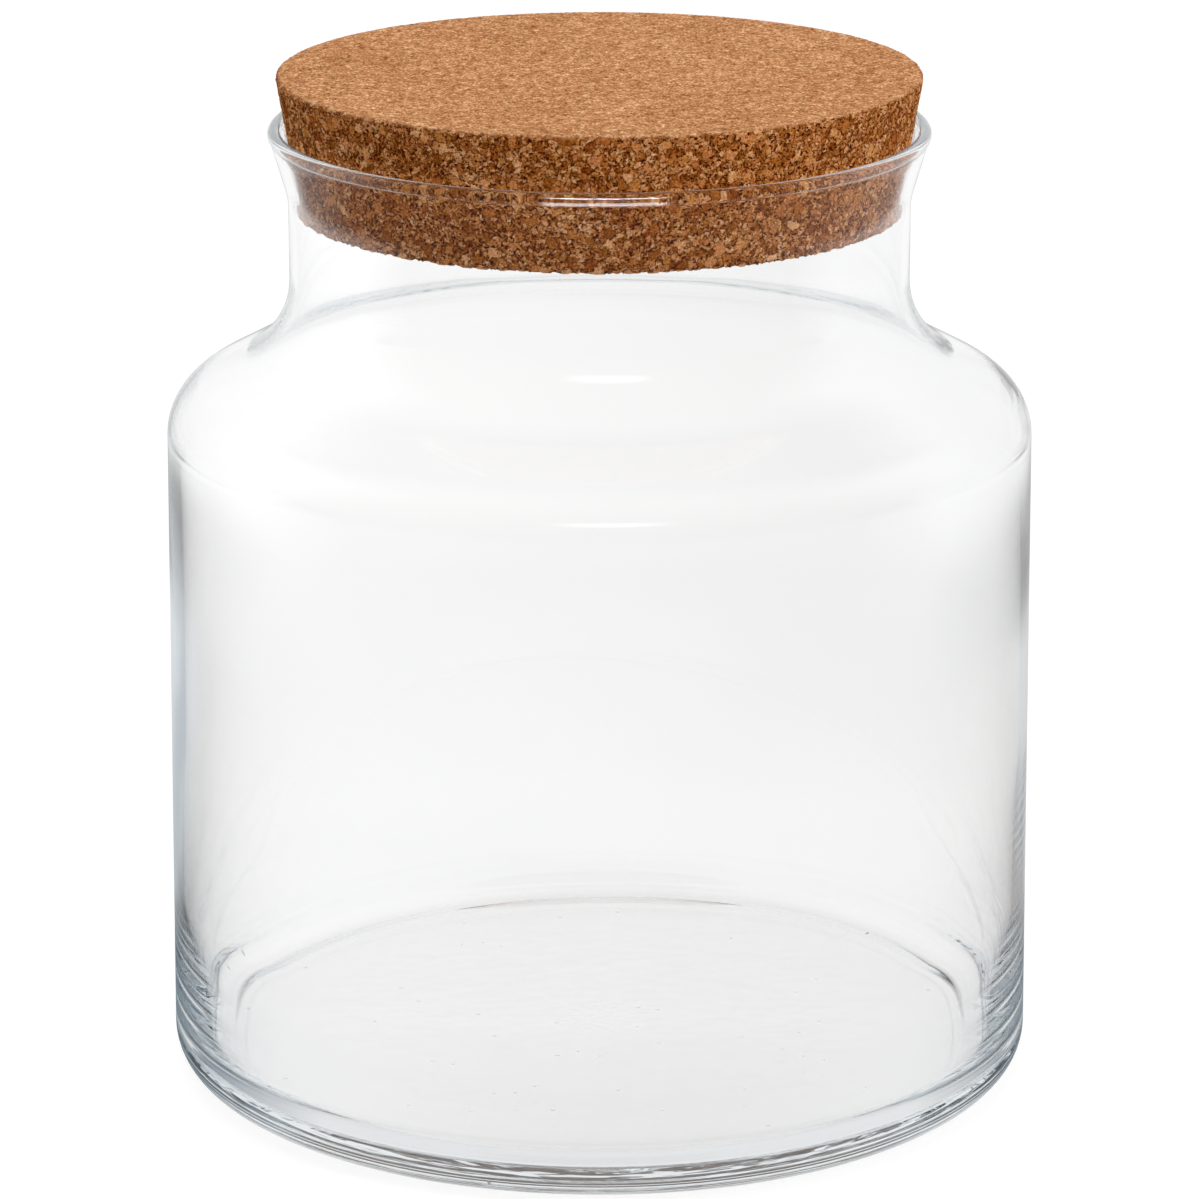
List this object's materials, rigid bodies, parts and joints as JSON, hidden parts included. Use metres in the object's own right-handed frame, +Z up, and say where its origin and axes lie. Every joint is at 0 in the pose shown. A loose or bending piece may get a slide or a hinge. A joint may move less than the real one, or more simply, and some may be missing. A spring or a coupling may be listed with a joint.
{
  "type": "glass storage jar with cork lid",
  "caption": "Round clear glass storage jar with a sloped shoulder, short neck and flared lip, closed by a tapered cork lid that lifts out.",
  "frame": {"origin": "centre of the foot ring, on the surface that the jar stands on", "axes": "+Z up along the axis of the jar; it is round, so +X is simply to the right and +Y away from the viewer of the picture"},
  "size_m": [0.1824, 0.1822, 0.213],
  "materials": {
    "clear_glass": "polished",
    "cork": "matte"
  },
  "bodies": {
    "jar": {"glass_jar": "clear_glass"},
    "lid": {"cork_lid": "cork"}
  },
  "joints": [
    {"name": "lid_lift", "type": "slide", "parent": "jar", "child": "lid", "axis": [0, 0, 1], "range_m": [0, 0.04]}
  ]
}
